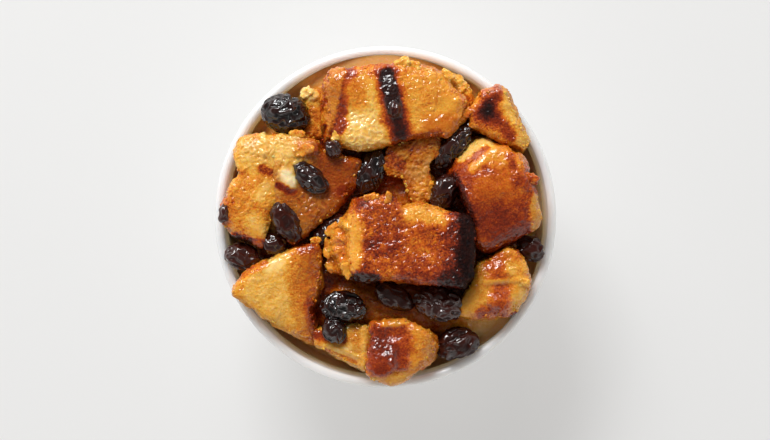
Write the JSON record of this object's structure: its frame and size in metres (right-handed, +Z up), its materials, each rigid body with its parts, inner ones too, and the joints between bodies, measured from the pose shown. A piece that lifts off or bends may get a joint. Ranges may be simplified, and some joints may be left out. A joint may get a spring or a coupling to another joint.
{
  "type": "bread pudding",
  "caption": "Bread pudding baked in its own round white bowl: torn custard-soaked bread chunks with glazed and burnt edges and wrinkled raisins, heaped above the rim.",
  "frame": {"origin": "centre of the flat underside of the bowl's foot", "axes": "+Z up out of the bowl's mouth; +Y towards the large bread chunk that leans on the wall, which is the top of the heap as seen from above; +X to the right of it"},
  "size_m": [0.104, 0.104, 0.066],
  "materials": {
    "porcelain": "gloss",
    "custard": "gloss",
    "bread": "satin",
    "raisin": "gloss"
  },
  "bodies": {
    "root": {"bowl": "porcelain", "custard": "custard", "bread_centre": "bread", "bread_north": "bread", "bread_east": "bread", "bread_northeast": "bread", "bread_north_behind": "bread", "bread_northwest": "bread", "bread_west_outer": "bread", "bread_west_inner": "bread", "bread_southwest": "bread", "bread_south_strip": "bread", "bread_south": "bread", "bread_southeast": "bread", "bread_torn": "bread", "raisin_01": "raisin", "raisin_02": "raisin", "raisin_03": "raisin", "raisin_04": "raisin", "raisin_05": "raisin", "raisin_06": "raisin", "raisin_07": "raisin", "raisin_08": "raisin", "raisin_09": "raisin", "raisin_10": "raisin", "raisin_11": "raisin", "raisin_12": "raisin", "raisin_13": "raisin", "raisin_14": "raisin", "raisin_15": "raisin", "raisin_16": "raisin", "raisin_17": "raisin"}
  },
  "joints": []
}
